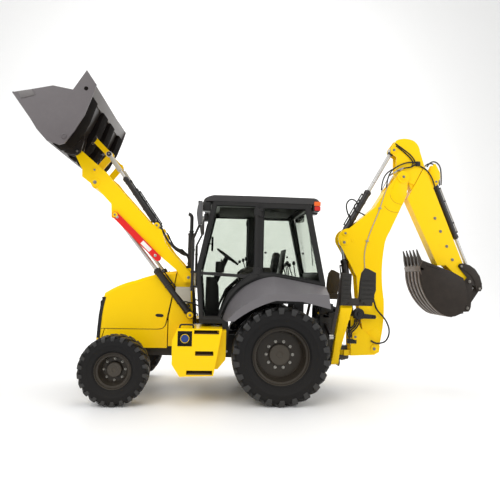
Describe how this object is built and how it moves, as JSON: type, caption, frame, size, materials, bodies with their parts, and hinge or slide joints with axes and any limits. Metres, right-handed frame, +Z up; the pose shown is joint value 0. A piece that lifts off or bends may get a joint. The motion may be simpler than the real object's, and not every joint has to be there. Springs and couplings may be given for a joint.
{
  "type": "backhoe loader",
  "caption": "Wheeled construction machine with a loader bucket on raised front arms, a glazed cab and a folded backhoe at the rear.",
  "frame": {"origin": "middle of the machine's length and width, on the ground under the wheels", "axes": "+X towards the backhoe at the rear, -X towards the loader bucket, -Y is the machine's left side, +Z up"},
  "size_m": [6.843, 2.26, 4.355],
  "materials": {
    "tyre": "worn rubber",
    "rim_bronze": "dark bronze paint",
    "yellow_paint": "satin paint",
    "grey_paint": "satin paint",
    "black_paint": "satin paint",
    "chrome": "polished",
    "loader_bucket_grey": "worn paint",
    "dig_bucket_brown": "worn paint",
    "red_paint": "gloss paint",
    "glass": "clear, slight green tint",
    "seat_vinyl": "matt vinyl",
    "dash_plastic": "moulded"
  },
  "bodies": {
    "root": {"main_frame": "black_paint", "front_axle": "black_paint", "rear_axle": "black_paint", "engine": "black_paint", "loader_towers": "yellow_paint", "skirts": "yellow_paint", "left_fuel_tank": "yellow_paint", "right_step_box": "yellow_paint", "cab_frame": "grey_paint", "cab_roof": "grey_paint", "cab_glass": "glass", "rear_fenders": "grey_paint", "operator_seat": "seat_vinyl", "cab_controls": "dash_plastic", "exhaust": "black_paint", "mirrors": "black_paint", "backhoe_frame": "black_paint"},
    "loader_arms": {"loader_arms": "yellow_paint", "safety_strut": "red_paint"},
    "lift_cylinder_barrels": {"lift_cylinder_barrels": "black_paint"},
    "lift_cylinder_rods": {"lift_cylinder_rods": "chrome"},
    "loader_bucket": {"loader_bucket": "loader_bucket_grey"},
    "bucket_levers": {"bucket_levers": "yellow_paint"},
    "bucket_links": {"bucket_links": "yellow_paint"},
    "tilt_cylinder_barrels": {"tilt_cylinder_barrels": "black_paint"},
    "tilt_cylinder_rods": {"tilt_cylinder_rods": "chrome"},
    "hood": {"hood": "yellow_paint"},
    "left_door": {"left_door": "grey_paint", "left_door_glass": "glass"},
    "right_door": {"right_door": "grey_paint", "right_door_glass": "glass"},
    "left_knuckle": {"left_knuckle": "black_paint"},
    "right_knuckle": {"right_knuckle": "black_paint"},
    "front_left_wheel": {"front_left_rim": "rim_bronze", "front_left_tyre": "tyre"},
    "front_right_wheel": {"front_right_rim": "rim_bronze", "front_right_tyre": "tyre"},
    "rear_left_wheel": {"rear_left_rim": "rim_bronze", "rear_left_tyre": "tyre"},
    "rear_right_wheel": {"rear_right_rim": "rim_bronze", "rear_right_tyre": "tyre"},
    "swing_post": {"swing_post": "yellow_paint"},
    "boom": {"boom": "yellow_paint"},
    "boom_cylinder_barrel": {"boom_cylinder_barrel": "black_paint"},
    "boom_cylinder_rod": {"boom_cylinder_rod": "chrome"},
    "dipper": {"dipper": "yellow_paint"},
    "dipper_cylinder_barrel": {"dipper_cylinder_barrel": "black_paint"},
    "dipper_cylinder_rod": {"dipper_cylinder_rod": "chrome"},
    "dipper_extension": {"dipper_extension": "yellow_paint"},
    "dig_bucket": {"dig_bucket": "dig_bucket_brown"},
    "bucket_guide_links": {"bucket_guide_links": "black_paint"},
    "bucket_link": {"bucket_link": "black_paint"},
    "bucket_cylinder_barrel": {"bucket_cylinder_barrel": "black_paint"},
    "bucket_cylinder_rod": {"bucket_cylinder_rod": "chrome"},
    "left_stabilizer": {"left_stabilizer": "yellow_paint"},
    "left_stabilizer_barrel": {"left_stabilizer_barrel": "black_paint"},
    "left_stabilizer_rod": {"left_stabilizer_rod": "chrome"},
    "right_stabilizer": {"right_stabilizer": "yellow_paint"},
    "right_stabilizer_barrel": {"right_stabilizer_barrel": "black_paint"},
    "right_stabilizer_rod": {"right_stabilizer_rod": "chrome"}
  },
  "joints": [
    {"name": "loader_lift", "type": "hinge", "parent": "root", "child": "loader_arms", "pos_m": [-1.125, 0, 1.68], "axis": [0, 1, 0], "range_deg": [-86, 0]},
    {"name": "lift_barrel_turn", "type": "hinge", "parent": "root", "child": "lift_cylinder_barrels", "pos_m": [-1.09, 0, 1.15], "axis": [0, 1, 0], "range_deg": [-75, 1]},
    {"name": "lift_rod_slide", "type": "slide", "parent": "lift_cylinder_barrels", "child": "lift_cylinder_rods", "axis": [-0.6149, 0, 0.7886], "range_m": [-0.67, 0.01]},
    {"name": "bucket_tilt", "type": "hinge", "parent": "loader_arms", "child": "loader_bucket", "pos_m": [-2.725, 0, 3.415], "axis": [0, -1, 0], "range_deg": [-66, 92]},
    {"name": "lever_turn", "type": "hinge", "parent": "loader_arms", "child": "bucket_levers", "pos_m": [-2.48, 0, 3.165], "axis": [0, -1, 0], "range_deg": [-61, 84]},
    {"name": "link_turn", "type": "hinge", "parent": "bucket_levers", "child": "bucket_links", "pos_m": [-2.295, 0, 3.405], "axis": [0, -1, 0], "range_deg": [-82, 59]},
    {"name": "tilt_barrel_turn", "type": "hinge", "parent": "loader_arms", "child": "tilt_cylinder_barrels", "pos_m": [-1.593, 0, 2.407], "axis": [0, -1, 0], "range_deg": [-6, 8]},
    {"name": "tilt_rod_slide", "type": "slide", "parent": "tilt_cylinder_barrels", "child": "tilt_cylinder_rods", "axis": [-0.5753, 0, 0.8179], "range_m": [-0.24, 0.33]},
    {"name": "hood_tilt", "type": "hinge", "parent": "root", "child": "hood", "pos_m": [-2.38, 0, 0.79], "axis": [0, -1, 0], "range_deg": [0, 55]},
    {"name": "left_door_swing", "type": "hinge", "parent": "root", "child": "left_door", "pos_m": [-0.15, -0.79, 2.2], "axis": [0, 0, 1], "range_deg": [0, 75]},
    {"name": "right_door_swing", "type": "hinge", "parent": "root", "child": "right_door", "pos_m": [-0.15, 0.79, 2.2], "axis": [0, 0, -1], "range_deg": [0, 75]},
    {"name": "steering", "type": "hinge", "parent": "root", "child": "left_knuckle", "pos_m": [-2.04, -0.69, 0.457], "axis": [0, 0, 1], "range_deg": [-30, 30]},
    {"name": "right_steering", "type": "hinge", "parent": "root", "child": "right_knuckle", "pos_m": [-2.04, 0.69, 0.457], "axis": [0, 0, 1], "range_deg": [-31, 31]},
    {"name": "front_left_spin", "type": "hinge", "parent": "left_knuckle", "child": "front_left_wheel", "pos_m": [-2.04, -0.915, 0.457], "axis": [0, 1, 0], "continuous": true},
    {"name": "front_right_spin", "type": "hinge", "parent": "right_knuckle", "child": "front_right_wheel", "pos_m": [-2.04, 0.915, 0.457], "axis": [0, 1, 0], "continuous": true},
    {"name": "rear_left_spin", "type": "hinge", "parent": "root", "child": "rear_left_wheel", "pos_m": [0.15, -0.868, 0.66], "axis": [0, 1, 0], "continuous": true},
    {"name": "rear_right_spin", "type": "hinge", "parent": "root", "child": "rear_right_wheel", "pos_m": [0.15, 0.868, 0.66], "axis": [0, 1, 0], "continuous": true},
    {"name": "swing", "type": "hinge", "parent": "root", "child": "swing_post", "pos_m": [1.24, 0, 0.85], "axis": [0, 0, 1], "range_deg": [-90, 90]},
    {"name": "boom_lift", "type": "hinge", "parent": "swing_post", "child": "boom", "pos_m": [1.695, 0, 0.655], "axis": [0, -1, 0], "range_deg": [-105, 0]},
    {"name": "boom_barrel_turn", "type": "hinge", "parent": "swing_post", "child": "boom_cylinder_barrel", "pos_m": [1.4, 0, 0.83], "axis": [0, -1, 0], "range_deg": [-104, 1]},
    {"name": "boom_rod_slide", "type": "slide", "parent": "boom_cylinder_barrel", "child": "boom_cylinder_rod", "axis": [-0.1227, 0, 0.9924], "range_m": [-0.01, 0.55]},
    {"name": "dipper_swing", "type": "hinge", "parent": "boom", "child": "dipper", "pos_m": [2.15, 0, 3.318], "axis": [0, -1, 0], "range_deg": [0, 88]},
    {"name": "dipper_barrel_turn", "type": "hinge", "parent": "boom", "child": "dipper_cylinder_barrel", "pos_m": [1.24, 0, 2.41], "axis": [0, -1, 0], "range_deg": [-1, 4]},
    {"name": "dipper_rod_slide", "type": "slide", "parent": "dipper_cylinder_barrel", "child": "dipper_cylinder_rod", "axis": [0.497, 0, 0.8678], "range_m": [-0.63, 0.01]},
    {"name": "dipper_extend", "type": "slide", "parent": "dipper", "child": "dipper_extension", "axis": [0.4, 0, -0.9165], "range_m": [0, 1.07]},
    {"name": "dig_bucket_turn", "type": "hinge", "parent": "dipper_extension", "child": "dig_bucket", "pos_m": [3.202, 0, 1.708], "axis": [0, -1, 0], "range_deg": [0, 150]},
    {"name": "guide_turn", "type": "hinge", "parent": "dipper_extension", "child": "bucket_guide_links", "pos_m": [3.081, 0, 1.944], "axis": [0, -1, 0], "range_deg": [-1, 113]},
    {"name": "bucket_link_turn", "type": "hinge", "parent": "bucket_guide_links", "child": "bucket_link", "pos_m": [3.377, 0, 1.601], "axis": [0, -1, 0], "range_deg": [-41, 1]},
    {"name": "bucket_barrel_turn", "type": "hinge", "parent": "dipper_extension", "child": "bucket_cylinder_barrel", "pos_m": [2.698, 0, 3.27], "axis": [0, -1, 0], "range_deg": [-1, 17]},
    {"name": "bucket_rod_slide", "type": "slide", "parent": "bucket_cylinder_barrel", "child": "bucket_cylinder_rod", "axis": [0.3768, 0, -0.9263], "range_m": [-0.68, 0.01]},
    {"name": "left_stabilizer_turn", "type": "hinge", "parent": "root", "child": "left_stabilizer", "pos_m": [1.01, -0.43, 0.52], "axis": [1, 0, 0], "range_deg": [0, 85]},
    {"name": "left_stabilizer_barrel_turn", "type": "hinge", "parent": "root", "child": "left_stabilizer_barrel", "pos_m": [0.915, -0.06, 1.11], "axis": [1, 0, 0], "range_deg": [-1, 22]},
    {"name": "left_stabilizer_rod_slide", "type": "slide", "parent": "left_stabilizer_barrel", "child": "left_stabilizer_rod", "axis": [0, -0.925, -0.3799], "range_m": [-0.01, 0.5]},
    {"name": "right_stabilizer_turn", "type": "hinge", "parent": "root", "child": "right_stabilizer", "pos_m": [1.01, 0.43, 0.52], "axis": [-1, 0, 0], "range_deg": [0, 85]},
    {"name": "right_stabilizer_barrel_turn", "type": "hinge", "parent": "root", "child": "right_stabilizer_barrel", "pos_m": [0.915, 0.06, 1.11], "axis": [-1, 0, 0], "range_deg": [-1, 22]},
    {"name": "right_stabilizer_rod_slide", "type": "slide", "parent": "right_stabilizer_barrel", "child": "right_stabilizer_rod", "axis": [0, 0.925, -0.3799], "range_m": [-0.01, 0.5]}
  ],
  "couplings": [
    {"joint": "lift_barrel_turn", "follows": "loader_lift", "ratio": 0.859},
    {"joint": "lift_rod_slide", "follows": "loader_lift", "m_per_rad": 0.4394},
    {"joint": "lever_turn", "follows": "bucket_tilt", "ratio": 0.9},
    {"joint": "link_turn", "follows": "bucket_tilt", "ratio": -0.88},
    {"joint": "tilt_barrel_turn", "follows": "bucket_tilt", "ratio": 0.08},
    {"joint": "tilt_rod_slide", "follows": "bucket_tilt", "m_per_rad": 0.2},
    {"joint": "right_steering", "follows": "steering", "ratio": 1},
    {"joint": "boom_barrel_turn", "follows": "boom_lift", "ratio": 0.975},
    {"joint": "boom_rod_slide", "follows": "boom_lift", "m_per_rad": -0.292},
    {"joint": "dipper_barrel_turn", "follows": "dipper_swing", "ratio": 0.036},
    {"joint": "dipper_rod_slide", "follows": "dipper_swing", "m_per_rad": -0.4058},
    {"joint": "guide_turn", "follows": "dig_bucket_turn", "ratio": 0.737},
    {"joint": "bucket_link_turn", "follows": "dig_bucket_turn", "ratio": -0.263},
    {"joint": "bucket_barrel_turn", "follows": "dig_bucket_turn", "ratio": 0.106},
    {"joint": "bucket_rod_slide", "follows": "dig_bucket_turn", "m_per_rad": -0.2566},
    {"joint": "left_stabilizer_barrel_turn", "follows": "left_stabilizer_turn", "ratio": 0.247},
    {"joint": "left_stabilizer_rod_slide", "follows": "left_stabilizer_turn", "m_per_rad": 0.324},
    {"joint": "right_stabilizer_barrel_turn", "follows": "right_stabilizer_turn", "ratio": 0.247},
    {"joint": "right_stabilizer_rod_slide", "follows": "right_stabilizer_turn", "m_per_rad": 0.324}
  ]
}
